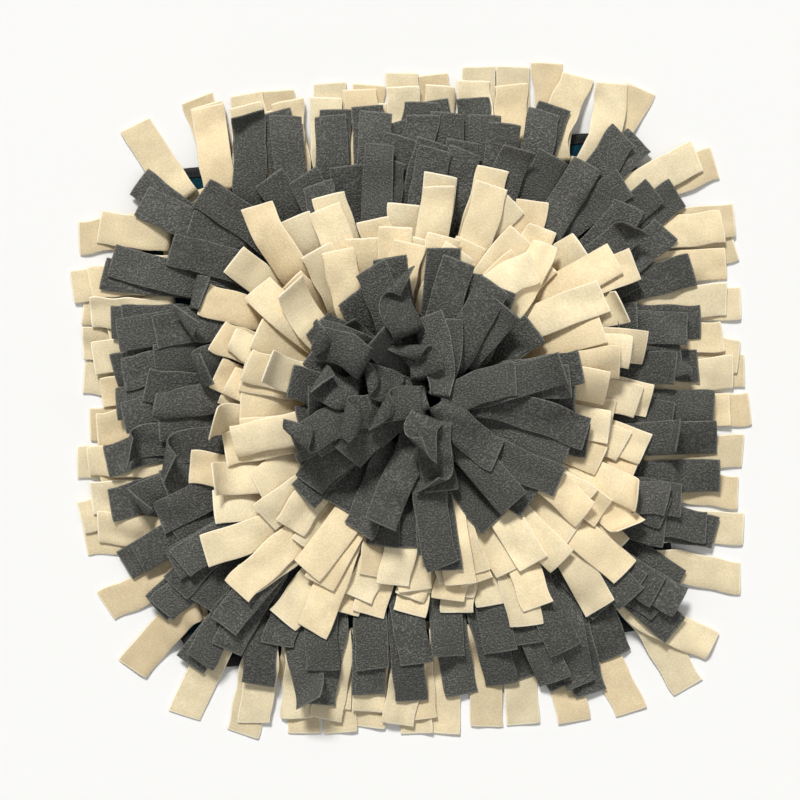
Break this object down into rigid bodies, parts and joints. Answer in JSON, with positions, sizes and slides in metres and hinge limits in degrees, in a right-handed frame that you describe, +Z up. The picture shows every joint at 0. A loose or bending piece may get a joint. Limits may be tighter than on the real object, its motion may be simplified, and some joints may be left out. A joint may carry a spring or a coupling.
{
  "type": "snuffle mat",
  "caption": "Square snuffle mat for a pet: rings of cream and charcoal fleece strips sewn on a flat cloth base with a bound edge.",
  "frame": {"origin": "centre of the mat's underside, on the surface that it lies on", "axes": "+Z up out of the mat, +X and +Y along the sides of its square base"},
  "size_m": [0.5101, 0.4992, 0.0893],
  "materials": {
    "base_fleece": "matt teal fleece",
    "binding": "matt black folded tape",
    "cream_fleece": "matt cream fleece with a short nap",
    "charcoal_fleece": "matt charcoal fleece with a short nap"
  },
  "bodies": {
    "root": {"base_cloth": "base_fleece", "edge_binding": "binding", "fringe_1_cream": "cream_fleece", "fringe_2_charcoal": "charcoal_fleece", "fringe_3_charcoal": "charcoal_fleece", "fringe_4_cream": "cream_fleece", "fringe_5_cream": "cream_fleece", "fringe_6_charcoal": "charcoal_fleece", "fringe_7_charcoal": "charcoal_fleece", "fringe_8_charcoal": "charcoal_fleece"}
  },
  "joints": []
}
